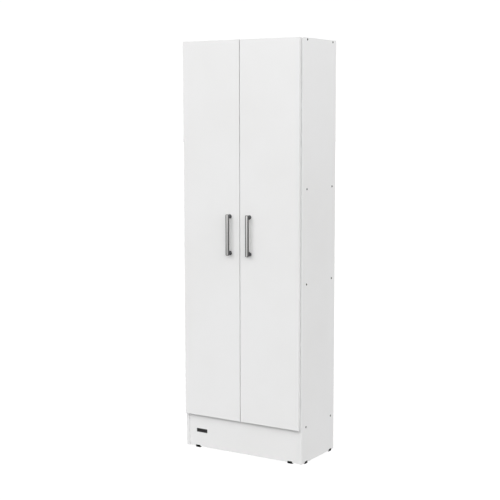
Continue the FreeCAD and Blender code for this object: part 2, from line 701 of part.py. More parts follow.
def hingeCup():
    """The pressed cup, in a frame at its middle on the back of the door."""
    body = newBody("hinge_cup", keep=False)
    shell = sketch(body, "XZ_Plane")
    circles(shell, [("0", "0")], "cup_wide")
    pad(body, shell, "cup_deep", -1)
    flange = sketch(body, "XZ_Plane")
    left, right, reach = "wing_shift - wing_half", "wing_shift + wing_half", "wing_reach"
    rim = "(cup_wide / 2 + cup_rim)"
    outline(flange, [
        ("-cup_wide / 4", f"-{rim}"), (left, f"-{rim}"), (left, f"wing_corner - {reach}"),
        (f"{left} + wing_corner", f"-{reach}"), (f"{right} - wing_corner", f"-{reach}"),
        (right, f"wing_corner - {reach}"), (right, f"-{rim}"), (rim, "-wing_half"),
        (rim, "wing_half"), (right, rim), (right, f"{reach} - wing_corner"),
        (f"{right} - wing_corner", reach), (f"{left} + wing_corner", reach),
        (left, f"{reach} - wing_corner"), (left, rim), ("-cup_wide / 4", rim),
    ])
    pad(body, flange, "metal", 1)
    hollow = sketch(body, "XZ_Plane", "metal")
    circles(hollow, [("0", "0")], "cup_wide - 2 * cup_wall")
    pocket(body, hollow, "metal + cup_deep - cup_wall", -1)
    notch = sketch(body, "XZ_Plane")
    outline(notch, rectangle("-cup_wide", "-cup_notch", "-cup_wide / 4", "cup_notch"))
    pocket(body, notch, "cup_notch_deep", -1)
    pin_x = "(pin_in - cup_edge - cup_wide / 2)"
    for start in ("ear_in", "-pin_half"):
        ear = sketch(body, "XY_Plane", start)
        outline(ear, rectangle(f"{pin_x} - ear_low * 0.8", "cup_wall / 2 - cup_deep",
                               f"{pin_x} + ear_high", "ear_high - pin_down"))
        pad(body, ear, "pin_half - ear_in", 1)
    screws = [("wing_shift", f"{sign}wing_screw") for sign in ("-", "")]
    sink(body, "XZ_Plane", "metal", screws, SMALL, "metal", -1)
    return body


def hingePin():
    pin_body = doc.addObject("Part::Cylinder", "hinge_pin")
    pin_body.setExpression("Radius", cells("pin_wide / 2"))
    pin_body.setExpression("Height", cells("2 * pin_half"))
    return pin_body


def carcaseHinges(screw):
    """Arms, plates and their screws, three to a side."""
    ends = [(f"-{HALF}", UPRIGHT), (HALF, HALF_TURN)]
    places = [(x, FRONT, level, turn) for x, turn in ends for level in HINGE_LEVELS]
    copies("hinge_arms", hingeArm(), places)
    copies("hinge_plates", hingePlate(), places)
    clamp = panScrew("clamp_screw", "clamp_wide", "clamp_long")
    clamps = []
    screws = []
    for sign, turn in (("-", HEAD_RIGHT), ("", HEAD_LEFT)):
        for level in HINGE_LEVELS:
            clamps.append((f"{sign}({HALF} - {WEB_TOP})", f"{FRONT} + clamp_row", level, turn))
            for shift in "-+":
                screws.append((f"{sign}({INNER} - plate_thick)", f"{FRONT} + plate_row",
                               f"{level} {shift} plate_screw", turn))
    copies("hinge_arm_screws", clamp, clamps)
    copies("hinge_plate_screws", screw, screws)


# ---- Catches ----

def catches(screw):
    """Magnetic catches under the top panel, one for each door."""
    body = newBody("catch_body", keep=False)
    section = sketch(body, "XZ_Plane")
    half = "(catch_wide / 2)"
    block = f"({half} - catch_ear)"
    ear_low = "(catch_high - catch_ear_thick)"
    outline(section, [
        (f"-{half}", ear_low), (f"-{block}", ear_low), (f"-{block}", "0"), (block, "0"),
        (block, ear_low), (half, ear_low), (half, "catch_high"), (f"-{half}", "catch_high"),
    ])
    pad(body, section, "catch_deep", 1)
    recess = sketch(body, "XZ_Plane")
    low = "(catch_high / 2 - magnet_high / 2 - pole_thick)"
    high = "(catch_high / 2 + magnet_high / 2 + pole_thick)"
    outline(recess, rectangle("-magnet_wide / 2", low, "magnet_wide / 2", high))
    pocket(body, recess, "magnet_deep", 1)
    holes = [(f"{sign}{EAR_SCREW}", "catch_deep / 2") for sign in ("-", "")]
    sink(body, "XY_Plane", ear_low, holes, SMALL, "catch_ear_thick", 1)
    base = f"{TOP_LOW} - catch_high"
    sides = [f"{sign}catch_centre" for sign in ("-", "")]
    copies("catch_bodies", body, [(x, FRONT, base, UPRIGHT) for x in sides])

    magnet = doc.addObject("Part::Box", "magnet")
    magnet.setExpression("Length", cells("magnet_wide"))
    magnet.setExpression("Width", cells("magnet_deep"))
    magnet.setExpression("Height", cells("magnet_high"))
    corner = [f"{x} - magnet_wide / 2" for x in sides]
    copies("catch_magnets", magnet,
           [(x, FRONT, f"{CATCH_LEVEL} - magnet_high / 2", UPRIGHT) for x in corner])

    pole = doc.addObject("Part::Box", "pole")
    pole.setExpression("Length", cells("magnet_wide"))
    pole.setExpression("Width", cells("magnet_deep + pole_reach"))
    pole.setExpression("Height", cells("pole_thick"))
    levels = [f"{CATCH_LEVEL} + magnet_high / 2",
              f"{CATCH_LEVEL} - magnet_high / 2 - pole_thick"]
    copies("catch_poles", pole,
           [(x, f"{FRONT} - pole_reach", z, UPRIGHT) for x in corner for z in levels])

    ears = [f"{x} {sign} {EAR_SCREW}" for x in sides for sign in "-+"]
    copies("catch_screws", screw,
           [(x, f"{FRONT} + catch_deep / 2", f"{TOP_LOW} - catch_ear_thick", HEAD_DOWN)
            for x in ears])


# ---- Doors ----

def doorPanel(name, hand):
    """One door; hand is -1 on the left, where its outer edge is at x = 0, 1 on the right."""
    high = f"(case_height - {DOOR_LOW})"
    left = f"(-({DOOR_WIDE} + meeting_gap / 2))" if hand < 0 else "meeting_gap / 2"
    body = panel(f"{name}_door", DOOR_WIDE, "board", high, left, DOOR_FACE, DOOR_LOW)
    bevelEdges(body, "edge_ease", lambda box: near(box.YMax, 0))

    def across(formula):
        """A distance in from the door's outer edge, in the body's own frame."""
        return formula if hand < 0 else f"{DOOR_WIDE} - ({formula})"

    levels = [f"({level} - {DOOR_LOW})" for level in HINGE_LEVELS]
    cup = "cup_edge + cup_wide / 2"
    cups = [(across(cup), level) for level in levels]
    drill(body, "XZ_Plane", "board", cups, "cup_wide", "cup_bore", -1)
    small = [
        (across(f"{cup} + wing_shift"), f"{level} {sign} wing_screw")
        for level in levels for sign in "-+"
    ]
    from_meeting = f"{DOOR_WIDE} + meeting_gap / 2"
    small += [
        (across(f"{from_meeting} - catch_centre {sign} strike_screw"),
         f"{CATCH_LEVEL} - {DOOR_LOW}")
        for sign in "-+"
    ]
    bore(body, "XZ_Plane", "board", small, "fix_shank", "fix_bore - metal", -1)
    posts = [
        (across(f"{from_meeting} - handle_inset"),
         f"handle_level - {DOOR_LOW} {sign} post_spacing / 2")
        for sign in "-+"
    ]
    bore(body, "XZ_Plane", "board", posts, "bolt_wide", "board", -1)


def handleBar(name, x):
    """The bar of a handle: flat behind, crowned in front, cut back at the corners."""
    body = newBody(f"{name}_handle_bar")
    section = sketch(body, "XY_Plane")
    outline(section, rectangle("-handle_wide / 2", "-handle_thick", "handle_wide / 2", "0"))
    pad(body, section, "handle_long", 0)
    front = -sheet.get("handle_thick")
    roundEdges(body, "handle_crown", lambda box: upright(box) and near(box.YMax, front))
    corners = sketch(body, "XZ_Plane")
    for side in "-+":
        for end in "-+":
            x_edge = f"0 {side} handle_wide / 2"
            z_edge = f"0 {end} handle_long / 2"
            outline(corners, [
                (f"{x_edge} {side} 1", f"{z_edge} {end} 1"),
                (f"{x_edge} {side} 1", f"{z_edge} {end} (-handle_corner - 1)"),
                (f"{x_edge} {side} (-handle_corner - 1)", f"{z_edge} {end} 1"),
            ])
    pocket(body, corners, "handle_thick", -1)
    place(body, x, f"{DOOR_FACE} - handle_reach + handle_thick", "handle_level")


def handlePost():
    """A turned post, foot at the origin, with the bore for its screw."""
    body = newBody("handle_post", keep=False)
    section = sketch(body, "XY_Plane")
    circles(section, [("0", "0")], "post_wide")
    pad(body, section, "handle_reach - handle_thick", 1)
    bore(body, "XY_Plane", "0", [("0", "0")], "bolt_wide", "post_bore", 1)
    return body


def strikePlate(name, x):
    body = newBody(f"{name}_strike_plate")
    drawing = sketch(body, "XZ_Plane")
    outline(drawing, rectangle("-strike_wide / 2", "-strike_high / 2",
                               "strike_wide / 2", "strike_high / 2"))
    pad(body, drawing, "metal", 1)
    bevelEdges(body, "plate_corner", levelAcross)
    holes = [(f"{sign}strike_screw", "0") for sign in ("-", "")]
    sink(body, "XZ_Plane", "metal", holes, SMALL, "metal", -1)
    place(body, x, DOOR_BACK, CATCH_LEVEL)


def bumper():
    """A clear stick-on dot with a sloping edge."""
    body = newBody("bumper", keep=False)
    drawing = sketch(body, "XY_Plane")
    polygons(drawing, [("0", "0")], "bumper_wide")
    pad(body, drawing, "bumper_thick", 1)
    top = sheet.get("bumper_thick")
    bevelEdges(body, "bumper_thick / 2", lambda box: near(box.ZMin, top))
    return body


def doorFittings(name, hand, masters):
    """What is screwed, pressed or stuck to one door."""
    sign = "-" if hand < 0 else ""
    turn = UPRIGHT if hand < 0 else HALF_TURN
    edge = f"({HALF} - board + door_lap)"
    cup_x = f"{sign}({edge} - cup_edge - cup_wide / 2)"
    copies(f"{name}_hinge_cups", masters["cup"],
           [(cup_x, DOOR_BACK, level, turn) for level in HINGE_LEVELS])
    pin_x = f"{sign}({edge} - pin_in)"
    copies(f"{name}_hinge_pins", masters["pin"],
           [(pin_x, f"{DOOR_BACK} - pin_down", f"{level} - pin_half", UPRIGHT)
            for level in HINGE_LEVELS])
    wing_x = f"{sign}({edge} - cup_edge - cup_wide / 2 - wing_shift)"
    screws = [
        (wing_x, f"{DOOR_BACK} + metal", f"{level} {shift} wing_screw", HEAD_BACK)
        for level in HINGE_LEVELS for shift in "-+"
    ]
    screws += [
        (f"{sign}catch_centre {shift} strike_screw", f"{DOOR_BACK} + metal", CATCH_LEVEL,
         HEAD_BACK)
        for shift in "-+"
    ]
    copies(f"{name}_door_screws", masters["screw"], screws)
    handle_x = f"{sign}handle_inset"
    handleBar(name, handle_x)
    posts = [f"handle_level {shift} post_spacing / 2" for shift in "-+"]
    copies(f"{name}_handle_posts", masters["post"],
           [(handle_x, DOOR_FACE, z, HEAD_FRONT) for z in posts])
    copies(f"{name}_handle_screws", masters["bolt"],
           [(handle_x, DOOR_BACK, z, HEAD_BACK) for z in posts])
    strikePlate(name, f"{sign}catch_centre")
    copies(f"{name}_bumpers", masters["bumper"],
           [(f"{sign}bumper_inset", DOOR_BACK, z, HEAD_BACK)
            for z in (END_LEVELS[0], END_LEVELS[1])])


# ---- Assembly ----

sidePanel("left_side_panel", -1)
sidePanel("right_side_panel", 1)
topPanel()
basePanel()
centreDivider()
shelf("lower_shelf", SHELF_LEVELS[0])
shelf("upper_shelf", SHELF_LEVELS[1])
plinthBoard()
backPanel()
assemblyScrews()
small_screw = sunkScrew("small_screw", SMALL, "fix_bore")
plinthBrackets(small_screw)
blankPlate()
glides()
carcaseHinges(small_screw)
catches(small_screw)
door_masters = {
    "cup": hingeCup(),
    "pin": hingePin(),
    "screw": small_screw,
    "post": handlePost(),
    "bolt": panScrew("handle_screw", "bolt_wide", "board + bolt_bite"),
    "bumper": bumper(),
}
for door_name, door_hand in (("left", -1), ("right", 1)):
    doorPanel(door_name, door_hand)
    doorFittings(door_name, door_hand, door_masters)
doc.recompute()

# Nothing is written unless every object is sound.
for item in doc.Objects:
    if "Invalid" in item.State or "Error" in item.State:
        raise RuntimeError(f"{item.Label}: {item.State}")
for label, piece in nodes.items():
    if piece.Shape.isNull() or not piece.Shape.isValid() or not piece.Shape.Solids:
        raise RuntimeError(f"{label} has no sound shape")

os.makedirs("parts", exist_ok=True)
for label, piece in nodes.items():
    piece.Shape.exportStep(f"parts/{label}.step")
print(len(nodes), "nodes written")
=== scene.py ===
import math

import bpy
from mathutils import Matrix, Vector


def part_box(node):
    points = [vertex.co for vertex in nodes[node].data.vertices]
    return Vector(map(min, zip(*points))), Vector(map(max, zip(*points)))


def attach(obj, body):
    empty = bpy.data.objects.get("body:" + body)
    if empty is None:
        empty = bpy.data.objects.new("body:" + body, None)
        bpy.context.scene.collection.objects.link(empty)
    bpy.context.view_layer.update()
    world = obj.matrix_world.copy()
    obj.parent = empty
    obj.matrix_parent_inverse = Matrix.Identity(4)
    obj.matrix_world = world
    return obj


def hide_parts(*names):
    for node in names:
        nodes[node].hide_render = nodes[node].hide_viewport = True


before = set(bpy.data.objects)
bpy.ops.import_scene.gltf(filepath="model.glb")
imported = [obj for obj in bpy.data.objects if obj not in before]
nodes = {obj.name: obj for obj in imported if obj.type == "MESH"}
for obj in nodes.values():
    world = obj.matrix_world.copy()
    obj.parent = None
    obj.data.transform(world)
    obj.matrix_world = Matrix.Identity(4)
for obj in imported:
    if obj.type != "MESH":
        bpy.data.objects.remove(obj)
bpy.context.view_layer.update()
mm = 0.001  # Blender works in metres, the sizes below are millimetres times mm
print("frame loaded,", len(nodes), "nodes")


# Camera and lights

camera = {
    "place": (2646.4, -4316.7, 1500.8),  # millimetres
    "turn": 31.857, "tilt": -6.702, "roll": -0.075,  # degrees
    "lens": 82.646, "sensor": 36.0, "reach": 1000.0,
}
studio = {
    "skyLow": 0.18, "skyHigh": 3.28, "skyBlend": (-0.08, 0.42),  # dim below the horizon
    "skyLean": -0.147,  # dimmer to the right
    "skyTop": (0.4, 0.9), "skyTopDim": 0.0, "skyTilt": 0.1,  # dark overhead, a little more behind
    "skyLeft": (-0.78, -0.28), "skyLeftDim": 0.36,  # dim at the far left, for darker metal edges
    "lamps": {  # place and aim in metres, diameter, watts
        "keyLamp": ((-2.4, -4.4, 2.6), (0.0, 0.0, 1.0), 2.4, 14.0),
        "topLamp": ((0.3, -2.2, 3.4), (0.0, -0.1, 1.5), 2.4, 2.0),
    },
}


def setCamera():
    data = bpy.data.cameras.new("viewCamera")
    data.sensor_width, data.lens, data.clip_end = camera["sensor"], camera["lens"], camera["reach"]
    viewer = bpy.data.objects.new("viewCamera", data)
    bpy.context.scene.collection.objects.link(viewer)
    turn, tilt, roll = (math.radians(camera[key]) for key in ("turn", "tilt", "roll"))
    viewer.matrix_world = (Matrix.Translation(Vector(camera["place"]) * mm)
                           @ Matrix.Rotation(turn, 4, "Z")
                           @ Matrix.Rotation(math.pi / 2 + tilt, 4, "X")
                           @ Matrix.Rotation(roll, 4, "Z"))
    bpy.context.scene.camera = viewer


def setLamps():
    for name, (place, target, size, watts) in studio["lamps"].items():
        data = bpy.data.lights.new(name, "AREA")
        data.shape, data.size, data.energy = "DISK", size, watts
        lamp = bpy.data.objects.new(name, data)
        look = (Vector(target) - Vector(place)).to_track_quat("-Z", "Y")
        lamp.matrix_world = Matrix.Translation(place) @ look.to_matrix().to_4x4()
        lamp.visible_camera = False
        bpy.context.scene.collection.objects.link(lamp)


def setSky():
    world = bpy.data.worlds.new("studioWorld")
    world.use_nodes = True
    bpy.context.scene.world = world
    light = Paint(world)
    across, behind, height = light.axes()
    glow = light.spread(height, *studio["skyBlend"], studio["skyLow"], studio["skyHigh"])
    left = light.spread(across, *studio["skyLeft"], studio["skyLeftDim"], 1.0)
    overhead = light.spread(height + behind * studio["skyTilt"], *studio["skyTop"],
                            1.0, studio["skyTopDim"])
    light.set(Color=tone(1.0), Strength=glow * overhead * left * (1 + across * studio["skyLean"]))
    bpy.context.scene.view_settings.view_transform = "Standard"


# Material tools

class Wire:
    # a socket that Python expressions can work with
    def __init__(self, paint, socket):
        self.paint, self.socket = paint, socket

    def work(self, operation, *terms):
        values = dict(enumerate(terms))
        return self.paint.add("ShaderNodeMath", {"operation": operation}, values)

    def __add__(self, other):
        return self.work("ADD", self, other)

    def __sub__(self, other):
        return self.work("SUBTRACT", self, other)

    def __rsub__(self, other):
        return self.work("SUBTRACT", other, self)

    def __mul__(self, other):
        return self.work("MULTIPLY", self, other)

    def __lt__(self, other):
        return self.work("LESS_THAN", self, other)

    def __gt__(self, other):
        return self.work("GREATER_THAN", self, other)

    def __abs__(self):
        return self.work("ABSOLUTE", self)

    def least(self, other):
        return self.work("MINIMUM", self, other)

    def most(self, other):
        return self.work("MAXIMUM", self, other)

    def sine(self):
        return self.work("SINE", self)

    def sign(self):
        return self.work("SIGN", self)

    def output(self, name):
        return Wire(self.paint, self.socket.node.outputs[name])

    __radd__ = __add__
    __rmul__ = __mul__


class Paint:
    # one material, or the world, with its shader and what feeds it
    def __init__(self, owner):
        named = isinstance(owner, str)
        self.material = bpy.data.materials.new(owner) if named else owner
        self.material.use_nodes = True
        self.tree = self.material.node_tree
        self.tree.nodes.clear()
        kinds = (("ShaderNodeBsdfPrincipled", "ShaderNodeOutputMaterial") if named
                 else ("ShaderNodeBackground", "ShaderNodeOutputWorld"))
        self.shader, target = (self.tree.nodes.new(kind) for kind in kinds)
        self.tree.links.new(self.shader.outputs[0], target.inputs[0])
        self.place = self.add("ShaderNodeTexCoord", output="Object" if named else "Generated")

    def feed(self, socket, value):
        if isinstance(value, Wire):
            self.tree.links.new(value.socket, socket)
        else:
            socket.default_value = value

    def add(self, kind, settings=None, values=None, output=0):
        node = self.tree.nodes.new(kind)
        for key, value in (settings or {}).items():
            if key == "stops":
                elements = node.color_ramp.elements
                elements.remove(elements[1])
                elements[0].position, elements[0].color = value[0]
                for position, colour in value[1:]:
                    elements.new(position).color = colour
            else:
                setattr(node, key, value)
        for key, value in (values or {}).items():
            self.feed(node.inputs[key], value)
        return Wire(self, node.outputs[output])

    def axes(self):
        first = self.add("ShaderNodeSeparateXYZ", None, {0: self.place})
        return [first.output(axis) for axis in "XYZ"]

    def stretched(self, factors):
        return self.add("ShaderNodeMapping", None, {"Vector": self.place, "Scale": factors})

    def noise(self, scale, detail=2.0, roughness=0.5, vector=None):
        values = {"Vector": vector or self.place, "Scale": scale,
                  "Detail": detail, "Roughness": roughness}
        return self.add("ShaderNodeTexNoise", None, values)

    def flakes(self, scale):
        values = {"Vector": self.place, "Scale": scale}
        colour = self.add("ShaderNodeTexVoronoi", None, values, "Color")
        return self.add("ShaderNodeSeparateColor", None, {0: colour})

    def spread(self, value, low, high, start=0.0, end=1.0):
        values = {"Value": value, "From Min": low, "From Max": high, "To Min": start, "To Max": end}
        return self.add("ShaderNodeMapRange", None, values)

    def mix(self, mask, first, second):
        values = {0: mask, 6: first, 7: second}
        return self.add("ShaderNodeMix", {"data_type": "RGBA"}, values, 2)

    def ramp(self, value, stops):
        return self.add("ShaderNodeValToRGB", {"stops": stops}, {0: value})

    def bump(self, height, distance, strength):
        values = {"Height": height, "Distance": distance, "Strength": strength}
        return self.add("ShaderNodeBump", None, values)

    def set(self, **values):
        for key, value in values.items():
            self.feed(self.shader.inputs[key.replace("_", " ")], value)


def tone(red, green=None, blue=None):
    return (red, red if green is None else green, red if blue is None else blue, 1.0)


# below, a noise is its scale alone or its scale, detail and roughness,
# "From" is the part of its range that is used, and bump is a distance and a strength
mostFrom = (0.3, 0.7)

setCamera()
setLamps()
setSky()
print("camera and lights set")


# Board, faced white and edged, with raw chipboard where it is left open

board = {
    "face": tone(0.85), "faceWorn": tone(0.825, 0.823, 0.818),
    "wear": (2.3, 3.0, 0.55), "wearFrom": (0.42, 0.72),
    "seam": tone(0.5), "seamBlend": 0.4, "seamHalf": 0.08 * mm, "edging": 1.1 * mm,
    "chips": ((0.0, tone(0.22, 0.135, 0.07)), (0.35, tone(0.40, 0.28, 0.16)),
              (1.0, tone(0.56, 0.41, 0.25))),
    "chipScale": 420.0, "chipRelief": 2.2, "grit": 900.0, "gritRelief": 2.0, "chipRough": 0.85,
    "facing": 0.5 * mm, "skin": 0.06 * mm,
    "handling": (14.0, 4.0, 0.6), "handlingFrom": (0.3, 0.75), "rough": (0.34, 0.46),
    "pearl": (1500.0, 2.0, 0.6), "bump": (0.06 * mm, 0.35),
}
rawFaces = {  # faces left unedged: axis, and whether it is the far one
    "left_side_panel": ((1, True), (2, False)),
    "right_side_panel": ((1, True), (2, False)),
    "top_panel": ((0, False), (0, True), (1, True)),
    "base_panel": ((0, False), (0, True), (1, True)),
    "centre_divider": ((1, True), (2, False), (2, True)),
    "lower_shelf": ((0, False), (0, True), (1, True)),
    "upper_shelf": ((0, False), (0, True), (1, True)),
    "plinth_board": ((0, False), (0, True), (2, False)),
    "left_door": (), "right_door": (),
}


def boardPaint(name, raw):
    # everything is laid out from the board's own box
    paint = Paint(name)
    low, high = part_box(name)
    where = paint.axes()
    sizes = [high[k] - low[k] for k in range(3)]
    thin = sizes.index(min(sizes))
    inside = {(k, far): high[k] - where[k] if far else where[k] - low[k]
              for k in range(3) for far in (False, True)}
    depth = None  # how far inside the nearest outer face
    for side in inside.values():
        depth = side if depth is None else depth.least(side)
    chip = depth > board["facing"]
    for face in raw:
        chip = chip.most(inside[face] < board["skin"])
    seam = None  # where the edging meets the facing
    for face, side in inside.items():
        if face[0] != thin and face not in raw:
            line = abs(side - board["edging"]) < board["seamHalf"]
            seam = line if seam is None else seam.most(line)
    worn = paint.spread(paint.noise(*board["wear"]), *board["wearFrom"])
    white = paint.mix(worn, board["face"], board["faceWorn"])
    white = paint.mix(seam * board["seamBlend"], white, board["seam"])
    shade = paint.flakes(board["chipScale"])
    crumbs = paint.ramp(shade, board["chips"])
    rough = paint.spread(paint.noise(*board["handling"]), *board["handlingFrom"], *board["rough"])
    relief = shade * board["chipRelief"] + paint.noise(board["grit"]) * board["gritRelief"]
    height = paint.noise(*board["pearl"]) * (1 - chip) + chip * relief
    paint.set(Base_Color=paint.mix(chip, white, crumbs),
              Roughness=rough * (1 - chip) + chip * board["chipRough"],
              Normal=paint.bump(height, *board["bump"]))
    return paint


# Hardboard, lacquered white inside and bare brown outside

hardboard = {
    "lacquer": 0.3 * mm, "white": tone(0.78), "whiteAged": tone(0.735, 0.73, 0.715),
    "ageing": (3.0, 3.0), "ageingFrom": (0.4, 0.7), "brush": (500.0, 3.0),
    "brown": ((0.25, tone(0.17, 0.095, 0.045)), (0.5, tone(0.27, 0.16, 0.085)),
              (0.78, tone(0.36, 0.235, 0.135))),
    "fibres": (130.0, 6.0, 0.7), "fibreStretch": (1.0, 1.0, 2.2), "fibreRelief": 2.0,
    "speck": tone(0.13, 0.07, 0.035), "specks": (900.0, 2.0, 0.6), "speckOver": 0.66,
    "speckBlend": 0.4, "meshPitch": 1.8 * mm, "meshRelief": 1.6,
    "rough": 0.4, "brownRougher": 0.42, "bump": (0.12 * mm, 0.5),
}


def hardboardPaint():
    paint = Paint("hardboard")
    low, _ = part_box("back_panel")
    where = paint.axes()
    outside = (where[1] - low[1]) > hardboard["lacquer"]
    fibres = paint.noise(*hardboard["fibres"], paint.stretched(hardboard["fibreStretch"]))
    specks = paint.noise(*hardboard["specks"]) > hardboard["speckOver"]
    bare = paint.mix(specks * hardboard["speckBlend"], paint.ramp(fibres, hardboard["brown"]),
                     hardboard["speck"])
    screen = None  # the wire screen pressed into the rough side
    for k in (0, 2):
        wave = abs((where[k] * (math.pi / hardboard["meshPitch"])).sine())
        screen = wave if screen is None else screen.least(wave)
    aged = paint.spread(paint.noise(*hardboard["ageing"]), *hardboard["ageingFrom"])
    lacquer = paint.mix(aged, hardboard["white"], hardboard["whiteAged"])
    relief = screen * hardboard["meshRelief"] + fibres * hardboard["fibreRelief"]
    height = outside * relief + (1 - outside) * paint.noise(*hardboard["brush"])
    paint.set(Base_Color=paint.mix(outside, lacquer, bare),
              Roughness=outside * hardboard["brownRougher"] + hardboard["rough"],
              Normal=paint.bump(height, *hardboard["bump"]))
    return paint


# Moulded plastic, with a fine spark texture and a little scuffing

plastic = {
    "scuffs": (85.0, 6.0, 0.72), "scuffsFrom": (0.56, 0.74), "scuffBlend": 0.6,
    "clouds": (60.0, 4.0), "smoother": 0.07, "rougher": 0.09,
    "spark": (1300.0, 2.0, 0.6), "bump": (0.05 * mm, 0.45),
}
plastics = {  # colour, scuffed colour, roughness
    "blackPlastic": (tone(0.018), tone(0.045), 0.46),
    "glidePlastic": (tone(0.004), tone(0.01), 0.6),
    "whitePlastic": (tone(0.74, 0.74, 0.72), tone(0.66, 0.655, 0.63), 0.38),
}


def plasticPaint(name, colour, scuffed, rough):
    paint = Paint(name)
    scuffs = paint.spread(paint.noise(*plastic["scuffs"]), *plastic["scuffsFrom"])
    paint.set(Base_Color=paint.mix(scuffs * plastic["scuffBlend"], colour, scuffed),
              Roughness=paint.spread(paint.noise(*plastic["clouds"]), *mostFrom,
                                     rough - plastic["smoother"], rough + plastic["rougher"]),
              Normal=paint.bump(paint.noise(*plastic["spark"]), *plastic["bump"]))
    return paint


# Plated steel and zinc: cloudy plating, fine draw or brush lines, dull flecks

metal = {
    "clouds": (48.0, 4.0, 0.6), "cloudsFrom": (0.35, 0.7), "smoother": 0.05, "rougher": 0.07,
    "flecks": (420.0, 3.0, 0.7), "flecksFrom": (0.66, 0.78), "fleckBlend": 0.14, "fleckShade": 0.5,
    "lineDetail": (3.0, 0.65), "lineRough": 0.12, "bumpStrength": 0.5,
}
plainPlating = {"brushed": (1.0, 1.0, 1.0), "lines": 700.0, "depth": 0.02 * mm, "metallic": 1.0}
metals = {  # colour, clouded colour, roughness, what differs from plain plating
    "darkSteel": (tone(0.006), tone(0.012), 0.55, {"metallic": 0.3}),
    "zincSteel": (tone(0.60, 0.61, 0.64), tone(0.50, 0.505, 0.50), 0.33, {}),
    "hingeNickel": (tone(0.66, 0.645, 0.61), tone(0.585, 0.57, 0.535), 0.24,
                    {"brushed": (1.0, 0.06, 1.0), "lines": 900.0, "depth": 0.01 * mm}),
    # the handle posts: the handle's nickel painted dark, as painted shade
    "postNickelPaintedShade": (tone(0.12, 0.12, 0.125), tone(0.085, 0.085, 0.09), 0.36, {}),
    "magnet": (tone(0.055, 0.055, 0.06), tone(0.035, 0.035, 0.04), 0.68,
               {"metallic": 0.3, "depth": 0.05 * mm}),
}


def metalPaint(name, colour, clouded, rough, changes):
    kind = {**plainPlating, **changes}
    paint = Paint(name)
    lines = paint.noise(kind["lines"], *metal["lineDetail"], paint.stretched(kind["brushed"]))
    clouds = paint.noise(*metal["clouds"])
    flecks = paint.spread(paint.noise(*metal["flecks"]), *metal["flecksFrom"])
    dull = tone(*(part * metal["fleckShade"] for part in clouded[:3]))
    base = paint.mix(paint.spread(clouds, *metal["cloudsFrom"]), colour, clouded)
    rough = paint.spread(clouds, *mostFrom, rough - metal["smoother"], rough + metal["rougher"])
    paint.set(Base_Color=paint.mix(flecks * metal["fleckBlend"], base, dull),
              Metallic=kind["metallic"],
              Roughness=rough + (lines - 0.5) * metal["lineRough"],
              Normal=paint.bump(lines, kind["depth"], metal["bumpStrength"]))
    return paint


# Satin nickel of the handle bars: a painted highlight down the front, painted shade on the edges,
# flanks and ends, and a lighter back face

barPaintedLight = {
    "middle": 50.0 * mm, "half": 8.5 * mm, "wander": 0.04,
    # across the bar: painted shade at both edges, a painted highlight down the middle
    "across": ((0.05, tone(0.10)), (0.34, tone(0.15)), (0.5, tone(0.42, 0.415, 0.41)),
               (0.58, tone(0.9, 0.89, 0.88)), (0.7, tone(0.78, 0.77, 0.76)), (0.78, tone(0.38)),
               (0.92, tone(0.15))),
    # painted shade: darker on the flanks towards the back, and at both ends
    "flankShade": tone(0.09), "flankDepth": (-166.5 * mm, -164.5 * mm),
    "back": tone(0.6, 0.59, 0.58), "backDepth": -161.2 * mm,
    "level": 984.5 * mm, "tipShade": (85.5 * mm, 89.5 * mm),
    "lines": (2200.0, 3.0, 0.65), "draw": (1.0, 1.0, 0.03), "lineRough": 0.14,
    "clouds": (60.0, 4.0, 0.6), "rough": (0.26, 0.36), "metallic": 0.4, "bump": (0.03 * mm, 0.5),
}


def barPaintedLightPaint():
    paint = Paint("handleNickelPaintedLight")
    across, depth, height = paint.axes()
    middle = across.sign() * barPaintedLight["middle"]
    across = paint.spread(across - middle, -barPaintedLight["half"], barPaintedLight["half"])
    # painted shade on the flanks towards the back and at the bar's ends
    flankShade = paint.spread(depth, *barPaintedLight["flankDepth"]) * (depth < barPaintedLight["backDepth"])
    flankShade = flankShade.most(paint.spread(abs(height - barPaintedLight["level"]), *barPaintedLight["tipShade"]))
    lines = paint.noise(*barPaintedLight["lines"], paint.stretched(barPaintedLight["draw"]))
    clouds = paint.noise(*barPaintedLight["clouds"])
    # painted highlight down the middle of the front, painted shade towards its edges
    colour = paint.ramp(across + (clouds - 0.5) * barPaintedLight["wander"], barPaintedLight["across"])
    colour = paint.mix(flankShade, colour, barPaintedLight["flankShade"])
    colour = paint.mix(depth > barPaintedLight["backDepth"], colour, barPaintedLight["back"])
    rough = paint.spread(clouds, *mostFrom, *barPaintedLight["rough"])
    paint.set(Base_Color=colour, Metallic=barPaintedLight["metallic"],
              Roughness=rough + (lines - 0.5) * barPaintedLight["lineRough"],
              Normal=paint.bump(lines, *barPaintedLight["bump"]))
    return paint


# Clear soft rubber of the bumpers

rubber = {
    "clear": tone(0.72), "dusty": tone(0.62, 0.63, 0.62), "dust": (700.0, 3.0),
    "dustFrom": (0.4, 0.7), "clouds": 300.0, "rough": (0.22, 0.34),
    "grain": 1200.0, "bump": (0.03 * mm, 0.3), "seeThrough": 0.45, "bending": 1.45,
}


def rubberPaint():
    paint = Paint("clearRubber")
    dust = paint.spread(paint.noise(*rubber["dust"]), *rubber["dustFrom"])
    paint.set(Base_Color=paint.mix(dust, rubber["clear"], rubber["dusty"]),
              Roughness=paint.spread(paint.noise(rubber["clouds"]), *mostFrom, *rubber["rough"]),
              Normal=paint.bump(paint.noise(rubber["grain"]), *rubber["bump"]),
              Transmission_Weight=rubber["seeThrough"])
    paint.shader.inputs["IOR"].default_value = rubber["bending"]
    return paint


